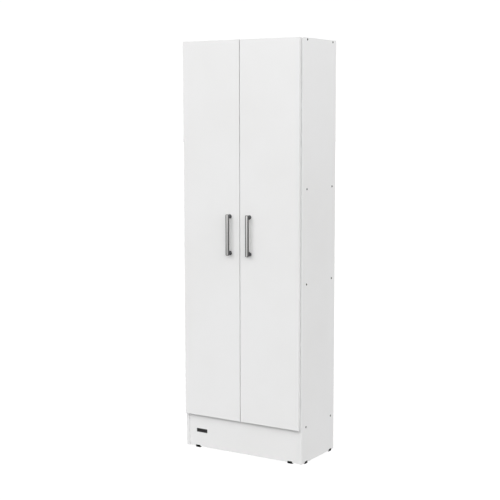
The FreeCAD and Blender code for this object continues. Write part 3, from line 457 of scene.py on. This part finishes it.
specular = {"darkSteel": 0.25, "glidePlastic": 0.2}  # where it is below the usual 0.5
paints = {"hardboard": hardboardPaint(), "handleNickelPaintedLight": barPaintedLightPaint(),
          "clearRubber": rubberPaint()}
for name, look in plastics.items():
    paints[name] = plasticPaint(name, *look)
for name, look in metals.items():
    paints[name] = metalPaint(name, *look)
for name, level in specular.items():
    paints[name].shader.inputs["Specular IOR Level"].default_value = level
for node, raw in rawFaces.items():
    paints[node] = boardPaint(node, raw)
    for slot in nodes[node].material_slots:
        slot.material = paints[node].material
print("finishes made")


# Modelling tools

near = 0.01  # millimetres between places that count as the same
along = 0.9  # how much of a normal lies along an axis where a face looks that way
smoothing = {"usual": 35.0, "rounded": 50.0, "flat": 8.0}  # degrees up to which an edge is smooth
softAngle = 30.0  # degrees from which an edge is rounded
merging = {"distance": 0.004, "angle": 1.0}  # millimetres and degrees


def free():
    if bpy.context.object and bpy.context.object.mode != "OBJECT":
        bpy.ops.object.mode_set(mode="OBJECT")
    bpy.ops.object.select_all(action="DESELECT")


def take(piece):
    free()
    piece.select_set(True)
    bpy.context.view_layer.objects.active = piece


def settle(piece):
    take(piece)
    bpy.ops.object.transform_apply(location=True, rotation=True, scale=True)
    return piece


def named(name):
    piece = bpy.context.object
    piece.name = piece.data.name = name
    return settle(piece)


def block(name, low, high):
    free()
    low, high = Vector(low) * mm, Vector(high) * mm
    bpy.ops.mesh.primitive_cube_add(size=1, location=(low + high) / 2, scale=high - low)
    return named(name)


def edit(piece, kind, wanted):
    # into edit mode with only the wanted faces or edges selected, places in millimetres
    take(piece)
    bpy.ops.object.mode_set(mode="EDIT")
    bpy.ops.mesh.select_mode(type=kind)
    bpy.ops.mesh.select_all(action="DESELECT")
    bpy.ops.object.mode_set(mode="OBJECT")
    mesh = piece.data
    if kind == "FACE":
        for face in mesh.polygons:
            face.select = wanted(face.center / mm, face.normal)
    else:
        for edge in mesh.edges:
            edge.select = wanted(*(mesh.vertices[k].co / mm for k in edge.vertices))
    bpy.ops.object.mode_set(mode="EDIT")


def upright(a, b):
    return abs(a.z - b.z) > near


def bevel(piece, wanted, width, segments):
    edit(piece, "EDGE", wanted)
    bpy.ops.mesh.bevel(offset=width * mm, segments=segments, affect="EDGES")
    bpy.ops.object.mode_set(mode="OBJECT")


def soften(piece, width, segments=2):
    take(piece)
    modifier = piece.modifiers.new("soft", "BEVEL")
    modifier.width, modifier.segments = width * mm, segments
    modifier.limit_method, modifier.angle_limit = "ANGLE", math.radians(softAngle)
    bpy.ops.object.modifier_apply(modifier=modifier.name)
    return piece


def turned(name, start, axis, profile, sides):
    # a round piece drawn out ring by ring: each step is a radius and a way along the axis
    free()
    axis, heart = Vector(axis), Vector(start) * mm
    radius = profile[0][0]
    bpy.ops.mesh.primitive_circle_add(vertices=sides, radius=radius * mm, fill_type="NGON",
                                      location=heart,
                                      rotation=axis.to_track_quat("Z", "Y").to_euler())
    piece = named(name)
    bpy.ops.object.mode_set(mode="EDIT")
    bpy.ops.mesh.select_mode(type="FACE")
    bpy.ops.mesh.select_all(action="SELECT")
    for reach, step in profile[1:]:
        bpy.ops.mesh.extrude_region_move(TRANSFORM_OT_translate={"value": axis * step * mm})
        heart = heart + axis * step * mm
        bpy.ops.transform.resize(value=(reach / radius,) * 3, center_override=heart)
        radius = reach
    bpy.ops.mesh.select_all(action="SELECT")
    bpy.ops.mesh.normals_make_consistent(inside=False)
    bpy.ops.object.mode_set(mode="OBJECT")
    return piece


def cut(piece, *tools):
    for tool in tools:
        take(piece)
        modifier = piece.modifiers.new("cut", "BOOLEAN")
        modifier.operation, modifier.object, modifier.solver = "DIFFERENCE", tool, "EXACT"
        bpy.ops.object.modifier_apply(modifier=modifier.name)
        bpy.data.objects.remove(tool)
    return piece


def joined(name, pieces):
    free()
    for piece in pieces:
        piece.select_set(True)
    bpy.context.view_layer.objects.active = pieces[0]
    if len(pieces) > 1:
        bpy.ops.object.join()
    return named(name)


def repeated(name, master, spots):
    # a copy of the master, which looks along -Z from the origin, at each place and direction
    copies = []
    for place, way in spots:
        copy = master.copy()
        copy.data = master.data.copy()
        bpy.context.scene.collection.objects.link(copy)
        copy.matrix_world = (Matrix.Translation(Vector(place) * mm)
                             @ Vector(way).to_track_quat("-Z", "Y").to_matrix().to_4x4())
        copies.append(settle(copy))
    return joined(name, copies)


def merged(name, node):
    # a copy of a node's mesh with its facets joined again into plain faces
    piece = bpy.data.objects.new(name, nodes[node].data.copy())
    bpy.context.scene.collection.objects.link(piece)
    take(piece)
    bpy.ops.object.mode_set(mode="EDIT")
    bpy.ops.mesh.select_all(action="SELECT")
    bpy.ops.mesh.remove_doubles(threshold=merging["distance"] * mm)
    bpy.ops.mesh.dissolve_limited(angle_limit=math.radians(merging["angle"]))
    bpy.ops.object.mode_set(mode="OBJECT")
    return piece


def fit(piece, body, slot, finish, *replaced, smooth="usual"):
    take(piece)
    bpy.ops.object.shade_smooth_by_angle(angle=math.radians(smoothing[smooth]))
    piece.data.materials.clear()
    piece.data.materials.append(paints[finish].material)
    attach(piece, body)
    if replaced:
        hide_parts(*replaced)


doors = {"left": -1, "right": 1}
hingeHeights = (256.5, 988.25, 1720.0)


# Handles

handle = {
    "x": 50.0, "width": 17.0, "front": -170.0, "back": -161.0, "low": 894.5, "high": 1074.5,
    "crown": 7.6, "crownSteps": 8, "backRound": 1.0, "backSteps": 3,
    "endRound": 4.2, "endSteps": 7, "endBlunt": 0.98,
    "door": -142.0, "postHeights": (904.5, 1064.5), "postSides": 40,
    "post": ((9.1, 0.0), (9.4, 0.3), (9.4, 1.6), (9.0, 0.5), (8.2, 0.6), (7.7, 5.7), (7.7, 7.8),
             (7.9, 2.7)),
}


def makeBar(side, x):
    half, middle = handle["width"] / 2, (handle["front"] + handle["back"]) / 2
    deep, rounding = (handle["back"] - handle["front"]) / 2, handle["endRound"]
    low, high = handle["low"] + rounding, handle["high"] - rounding
    bar = block(side + "HandleBar", (x - half, handle["front"], low),
                (x + half, handle["back"], high))

    def frontCorner(a, b):
        return upright(a, b) and a.y < handle["front"] + near

    def backCorner(a, b):
        return (upright(a, b) and min(a.y, b.y) > handle["back"] - near
                and abs(abs(a.x - x) - half) < near)

    bevel(bar, frontCorner, handle["crown"], handle["crownSteps"])
    bevel(bar, backCorner, handle["backRound"], handle["backSteps"])
    for height, way in ((low, -1), (high, 1)):  # the ends are drawn out in a quarter round
        edit(bar, "FACE", lambda centre, normal: normal.z * way > along)
        inset, risen = 0.0, 0.0
        for k in range(1, handle["endSteps"] + 1):
            angle = math.pi / 2 * k / handle["endSteps"]
            nextInset = rounding * (1 - math.cos(angle)) * handle["endBlunt"]
            rise = rounding * math.sin(angle)
            step = (0.0, 0.0, way * (rise - risen) * mm)
            bpy.ops.mesh.extrude_region_move(TRANSFORM_OT_translate={"value": step})
            shrink = ((half - nextInset) / (half - inset), (deep - nextInset) / (deep - inset), 1.0)
            bpy.ops.transform.resize(value=shrink,
                                     center_override=(x * mm, middle * mm, height * mm))
            inset, risen = nextInset, rise
        bpy.ops.object.mode_set(mode="OBJECT")
    return bar


def makeHandles():
    for side, sign in doors.items():
        x, body = sign * handle["x"], side + "_door"
        fit(makeBar(side, x), body, "handle_nickel", "handleNickelPaintedLight", side + "_handle_bar",
            smooth="rounded")
        posts = [turned("post", (x, handle["door"], z), (0, -1, 0), handle["post"],
                        handle["postSides"])
                 for z in handle["postHeights"]]
        # the posts take the handle's nickel painted dark, as painted shade
        fit(joined(side + "HandlePosts", posts), body, "handle_nickel", "postNickelPaintedShade",
            side + "_handle_posts")


makeHandles()
print("handles made")


# Screws

assemblyScrew = {
    "head": ((4.7, 0.0), (5.0, 0.25), (5.0, 0.65), (3.5, 2.7)),
    "thread": ((2.5, 2.53), (3.4, 1.38), (2.5, 0.69)), "turns": 9, "tip": ((1.2, 3.4), (0.4, 0.6)),
    "socket": 2.35, "socketDepth": 2.8, "sides": 24,
}
assemblyPlaces = {
    "rows": (-85.0, 140.0), "ends": (162.5, 1812.5), "shelves": (784.75, 1190.25),
    "side": 300.0, "divider": 7.5, "top": 1820.0, "base": 155.0,
}
smallScrew = {
    "head": ((2.55, 0.0), (2.8, 0.25), (2.75, 0.25), (1.45, 1.4)),
    "thread": ((1.2, 0.95), (1.65, 0.55), (1.2, 0.25)), "turns": 5, "tip": ((0.9, 0.7), (0.2, 0.6)),
    "cross": (0.95, 1.75, 1.3), "sides": 20,
}
armScrew = {
    "head": ((2.2, 0.0), (3.3, 0.4), (3.9, 0.8), (4.0, 1.2), (2.1, 0.0), (2.1, 1.0)),
    "thread": ((1.7, 0.5), (2.1, 0.6), (1.7, 0.3)), "turns": 5, "tip": ((1.3, 0.5),),
    "cross": (1.1, 2.1, 1.5), "sides": 24,
}
handleScrew = {**armScrew, "turns": 15}
recess = {"over": 0.5, "crossOver": 1.0, "crossTaper": 0.55}  # the cross narrows to its bottom
screwPlaces = {  # millimetres to the right of the middle, then depth and height
    "plate": (282.5, -87.0), "plateRise": 16.0, "arm": (272.5, -74.0),
    "bracketFront": (273.0, -103.0, 10.0), "bracketSide": (283.5, -92.5, 60.0),
    "catch": ((21.0, 59.0), -117.0, 1801.0), "strike": ((22.5, 57.5), -125.8, 1798.5),
    "cup": (267.0, -125.8), "cupRise": 24.0, "handleDepth": -124.6,
}


def threaded(name, screw):
    profile = screw["head"] + screw["thread"] * screw["turns"] + screw["tip"]
    return turned(name, (0, 0, 0), (0, 0, -1), profile, screw["sides"])


def hexSocket(radius, depth):
    over = recess["over"]
    return turned("socket", (0, 0, over), (0, 0, -1), ((radius, 0.0), (radius, depth + over)), 6)


def crossRecess(width, reach, depth):
    half, over, taper = width / 2, recess["crossOver"], recess["crossTaper"]
    arms = [block("arm", (-reach, -half, -depth), (reach, half, over)),
            block("arm", (-half, -reach, -depth), (half, reach, over))]
    for arm in arms:
        edit(arm, "FACE", lambda centre, normal: normal.z < -along)
        bpy.ops.transform.resize(value=(taper, taper, 1.0), center_override=(0.0, 0.0, -depth * mm))
        bpy.ops.object.mode_set(mode="OBJECT")
    return arms


def makeAssemblyScrews():
    socket = hexSocket(assemblyScrew["socket"], assemblyScrew["socketDepth"])
    master = cut(threaded("assemblyScrew", assemblyScrew), socket)
    side, ends, shelves = (assemblyPlaces[key] for key in ("side", "ends", "shelves"))
    spots = []
    for y in assemblyPlaces["rows"]:
        spots += [((side, y, z), (-1, 0, 0)) for z in ends + shelves]
        spots += [((-side, y, z), (1, 0, 0)) for z in ends]
        spots += [((-assemblyPlaces["divider"], y, z), (1, 0, 0)) for z in shelves]
        spots += [((0.0, y, assemblyPlaces["top"]), (0, 0, -1)),
                  ((0.0, y, assemblyPlaces["base"]), (0, 0, 1))]
    screws = repeated("assemblyScrews", master, spots)
    bpy.data.objects.remove(master)
    fit(screws, "carcase", "dark_steel", "darkSteel", "assembly_screws")


def makeSmallScrews():
    masters = {name: cut(threaded(name, screw), *crossRecess(*screw["cross"]))
               for name, screw in (("smallScrew", smallScrew), ("armScrew", armScrew),
                                   ("handleScrew", handleScrew))}

    def place(name, master, spots, body, node):
        fit(repeated(name, masters[master], spots), body, "zinc_steel", "zincSteel", node)

    plates, arms, brackets, catches = [], [], [], []
    for sign in (-1, 1):
        for z in hingeHeights:
            x, y = screwPlaces["plate"]
            plates += [((sign * x, y, z + way * screwPlaces["plateRise"]), (sign, 0, 0))
                       for way in (-1, 1)]
            x, y = screwPlaces["arm"]
            arms.append(((sign * x, y, z), (sign, 0, 0)))
        for key, way in (("bracketFront", (0, -1, 0)), ("bracketSide", (sign, 0, 0))):
            x, y, z = screwPlaces[key]
            brackets.append(((sign * x, y, z), way))
        across, y, z = screwPlaces["catch"]
        catches += [((sign * x, y, z), (0, 0, 1)) for x in across]
    place("hingePlateScrews", "smallScrew", plates, "carcase", "hinge_plate_screws")
    place("hingeArmScrews", "armScrew", arms, "carcase", "hinge_arm_screws")
    place("bracketScrews", "smallScrew", brackets, "carcase", "bracket_screws")
    place("catchScrews", "smallScrew", catches, "carcase", "catch_screws")
    for side, sign in doors.items():
        body = side + "_door"
        x, y = screwPlaces["cup"]
        spots = [((sign * x, y, z + way * screwPlaces["cupRise"]), (0, -1, 0))
                 for z in hingeHeights for way in (-1, 1)]
        across, y, z = screwPlaces["strike"]
        spots += [((sign * x, y, z), (0, -1, 0)) for x in across]
        place(side + "DoorScrews", "smallScrew", spots, body, side + "_door_screws")
        spots = [((sign * handle["x"], screwPlaces["handleDepth"], z), (0, -1, 0))
                 for z in handle["postHeights"]]
        place(side + "HandleScrews", "handleScrew", spots, body, side + "_handle_screws")
    for master in masters.values():
        bpy.data.objects.remove(master)


makeAssemblyScrews()
makeSmallScrews()
print("screws made")


# Pressed and moulded fittings, with their edges rounded as pressing or moulding leaves them

fittings = {  # piece: node, rounding, body, slot, finish
    "hingeArms": ("hinge_arms", 0.3, "carcase", "hinge_nickel", "hingeNickel"),
    "hingePlates": ("hinge_plates", 0.35, "carcase", "hinge_nickel", "hingeNickel"),
    "leftHingeCups": ("left_hinge_cups", 0.2, "left_door", "hinge_nickel", "hingeNickel"),
    "rightHingeCups": ("right_hinge_cups", 0.2, "right_door", "hinge_nickel", "hingeNickel"),
    "leftHingePins": ("left_hinge_pins", 0.2, "left_door", "zinc_steel", "zincSteel"),
    "rightHingePins": ("right_hinge_pins", 0.2, "right_door", "zinc_steel", "zincSteel"),
    "leftStrikePlate": ("left_strike_plate", 0.3, "left_door", "zinc_steel", "zincSteel"),
    "rightStrikePlate": ("right_strike_plate", 0.3, "right_door", "zinc_steel", "zincSteel"),
    "plinthBrackets": ("plinth_brackets", 0.35, "carcase", "zinc_steel", "zincSteel"),
    "catchBodies": ("catch_bodies", 0.5, "carcase", "white_plastic", "whitePlastic"),
    "catchPoles": ("catch_poles", 0.2, "carcase", "zinc_steel", "zincSteel"),
    "catchMagnets": ("catch_magnets", 0.25, "carcase", "magnet", "magnet"),
}


def makeFittings():
    for name, (node, rounding, body, slot, finish) in fittings.items():
        fit(soften(merged(name, node), rounding), body, slot, finish, node, smooth="rounded")


makeFittings()
print("fittings made")


# Back board and its nails

back = {
    "low": (-292.5, 167.0, 155.5), "high": (292.5, 169.6, 1819.5), "round": 0.35, "face": 170.0,
    "head": ((2.05, 0.0), (2.05, 0.15), (1.75, 0.13), (0.9, 0.1)), "headStart": -0.4,
    "shank": ((0.75, 0.0), (0.75, 17.0), (0.1, 2.0)), "shankStart": -0.35,
    "headSides": 16, "shankSides": 8,
    "nails": [(x, z) for x in (-289, 289) for z in (195, 591.25, 987.5, 1383.75, 1780)]
             + [(0, z) for z in (591.25, 987.5, 1383.75)]
             + [(x, z) for x in (-150, 150) for z in (162.5, 1812.5)]
             + [(150, 784.75), (150, 1190.25)],
}


def makeBack():
    panel = soften(block("backPanel", back["low"], back["high"]), back["round"], 1)
    fit(panel, "carcase", "hardboard", "hardboard", "back_panel")
    head = turned("nail", (0, 0, back["headStart"]), (0, 0, 1), back["head"], back["headSides"])
    shank = turned("nail", (0, 0, back["shankStart"]), (0, 0, -1), back["shank"],
                   back["shankSides"])
    master = joined("nail", [head, shank])
    spots = [((x, back["face"], z), (0, -1, 0)) for x, z in back["nails"]]
    nails = repeated("backNails", master, spots)
    bpy.data.objects.remove(master)
    fit(nails, "carcase", "zinc_steel", "zincSteel")


makeBack()
print("back made")


# Glides, with the side panels recessed for their lips, and the bare plate on the plinth

glide = {
    "half": 6.7, "run": 11.5, "high": 5.0, "round": 2.2, "roundSteps": 5,
    "foot": 0.5, "footSteps": 3,
    "nail": ((1.2, 0.0), (1.2, 14.0), (0.3, 2.0)), "nailSunk": 0.5, "nailSides": 12,
    "lip": 1.2, "lipLow": 0.3, "lipHigh": 10.8, "lipRound": 0.4, "lipSteps": 3, "play": 0.2,
    "underPlinth": (240.0, -112.7), "plinthFace": -119.5,
    "underSide": (293.2, (-81.0, 139.0)), "sideFace": 299.9, "past": 301.0,
}
plate = {
    "low": (-246.5, -120.7, 72.0), "high": (-190.5, -119.5, 88.5), "corner": 1.6,
    "cornerSteps": 5, "rim": 0.9, "sunk": 0.25,
}


def makeGlide(x, y, wide, deep, lipLow, lipHigh):
    # a pad under the board's edge, the lip that laps the board's face, and the moulded-in nail
    pad = block("glide", (x - wide, y - deep, 0.0), (x + wide, y + deep, glide["high"]))
    bevel(pad, upright, glide["round"], glide["roundSteps"])
    bevel(pad, lambda a, b: max(a.z, b.z) < near, glide["foot"], glide["footSteps"])
    lip = soften(block("lip", lipLow, lipHigh), glide["lipRound"], glide["lipSteps"])
    nail = turned("nail", (x, y, glide["high"] - glide["nailSunk"]), (0, 0, 1), glide["nail"],
                  glide["nailSides"])
    return [pad, lip, nail]


def makePlinthGlides():
    half, run, low, high = (glide[key] for key in ("half", "run", "lipLow", "lipHigh"))
    x, y = glide["underPlinth"]
    face, pieces = glide["plinthFace"], []
    for centre in (-x, x):
        pieces += makeGlide(centre, y, run, half, (centre - run, face - glide["lip"], low),
                            (centre + run, face, high))
    fit(joined("plinthGlides", pieces), "carcase", "black_plastic", "glidePlastic",
        "plinth_glides")


def makeSideGlides():
    half, run, low, high = (glide[key] for key in ("half", "run", "lipLow", "lipHigh"))
    x, rows = glide["underSide"]
    play, pieces = glide["play"], []
    for side, sign in doors.items():
        node = side + "_side_panel"
        panel = merged(side + "SidePanel", node)
        outer, inner = sign * glide["sideFace"], sign * (glide["sideFace"] - glide["lip"])
        for y in rows:
            first, last = sorted((outer, inner))
            pieces += makeGlide(sign * x, y, half, run, (first, y - run, low),
                                (last, y + run, high))
            first, last = sorted((sign * glide["past"], inner))
            cut(panel, block("recess", (first, y - run - play, 0.0),
                             (last, y + run + play, high + play)))
        fit(panel, "carcase", "white_board", node, node, smooth="flat")
    fit(joined("sideGlides", pieces), "carcase", "black_plastic", "glidePlastic", "side_glides")


def makePlate():
    piece = block("plinthPlate", plate["low"], plate["high"])
    bevel(piece, lambda a, b: abs(a.y - b.y) > near, plate["corner"], plate["cornerSteps"])
    edit(piece, "FACE", lambda centre, normal: normal.y < -along)
    bpy.ops.mesh.inset(thickness=plate["rim"] * mm)
    bpy.ops.transform.translate(value=(0.0, plate["sunk"] * mm, 0.0))
    bpy.ops.object.mode_set(mode="OBJECT")
    fit(piece, "carcase", "black_plastic", "blackPlastic", "plinth_plate")


makePlinthGlides()
makeSideGlides()
makePlate()
print("glides and plate made")


# Bumpers

bumper = {
    "x": 25.0, "heights": (162.5, 1812.5), "back": -127.0, "sides": 28,
    "dome": ((4.0, 0.0), (4.0, 0.9), (3.75, 0.6), (3.1, 0.55), (2.1, 0.35), (0.9, 0.17)),
}


def makeBumpers():
    for side, sign in doors.items():
        domes = [turned("bumper", (sign * bumper["x"], bumper["back"], z), (0, 1, 0),
                        bumper["dome"], bumper["sides"])
                 for z in bumper["heights"]]
        fit(joined(side + "Bumpers", domes), side + "_door", "clear_rubber", "clearRubber",
            side + "_bumpers", smooth="rounded")


makeBumpers()
print("bumpers made")


# Floor, and the pale wall round it

ground = {
    "size": 110.0, "wallRadius": 60.0, "segments": 48, "rings": 24,
    "grey": 0.04, "vary": (-0.01, 0.01), "clouds": (0.8, 3.0),
    "wear": (6.0, 3.0), "rough": (0.75, 0.85), "glow": 0.97,
}


def floorPaint():
    paint = Paint("paleFloor")
    grey = paint.spread(paint.noise(*ground["clouds"]), *mostFrom, *ground["vary"]) + ground["grey"]
    colour = paint.add("ShaderNodeCombineColor", None, {0: grey, 1: grey, 2: grey})
    rough = paint.spread(paint.noise(*ground["wear"]), *mostFrom, *ground["rough"])
    paint.set(Base_Color=colour, Roughness=rough,
              Emission_Color=tone(1.0), Emission_Strength=ground["glow"])
    return paint


def makeFloor():
    # lit from within and unseen by the light: the dim lower sky stands for what they throw back
    free()
    bpy.ops.mesh.primitive_plane_add(size=ground["size"], location=(0, 0, 0))
    floor = named("floor")
    free()
    bpy.ops.mesh.primitive_uv_sphere_add(segments=ground["segments"], ring_count=ground["rings"],
                                         radius=ground["wallRadius"])
    wall = named("wall")
    finish = floorPaint().material
    for piece in (floor, wall):
        piece.data.materials.append(finish)
        piece.visible_diffuse = piece.visible_glossy = piece.visible_shadow = False


makeFloor()
print("floor laid")
